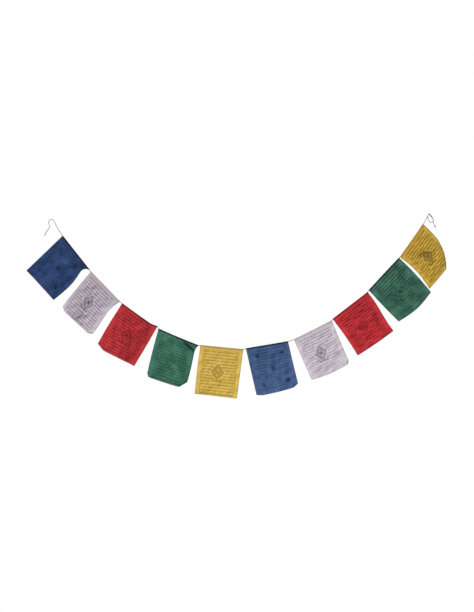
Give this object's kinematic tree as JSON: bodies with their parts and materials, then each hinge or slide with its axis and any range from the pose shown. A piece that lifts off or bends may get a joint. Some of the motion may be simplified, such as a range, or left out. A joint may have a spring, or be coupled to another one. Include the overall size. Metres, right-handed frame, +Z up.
{
  "type": "tibetan prayer flag string",
  "caption": "Hanging string of square printed cotton prayer flags in repeating colours, each hemmed over one thin twine that loops over a pin at both ends and sags in a shallow curve.",
  "frame": {"origin": "where the string passes over its left pin, on the string's centre line", "axes": "+X to the viewer's right along the row of flags, +Y away from the viewer, +Z up; the printed faces look along -Y"},
  "size_m": [1.3874, 0.0244, 0.6101],
  "materials": {
    "cloth_blue": "matt, thin plain-weave cotton",
    "cloth_white": "matt, thin plain-weave cotton",
    "cloth_red": "matt, thin plain-weave cotton",
    "cloth_green": "matt, thin plain-weave cotton",
    "cloth_yellow": "matt, thin plain-weave cotton",
    "twine": "matt, twisted cotton"
  },
  "bodies": {
    "root": {"flag_01_blue": "cloth_blue", "flag_02_white": "cloth_white", "flag_03_red": "cloth_red", "flag_04_green": "cloth_green", "flag_05_yellow": "cloth_yellow", "flag_06_blue": "cloth_blue", "flag_07_white": "cloth_white", "flag_08_red": "cloth_red", "flag_09_green": "cloth_green", "flag_10_yellow": "cloth_yellow", "string": "twine"}
  },
  "joints": []
}
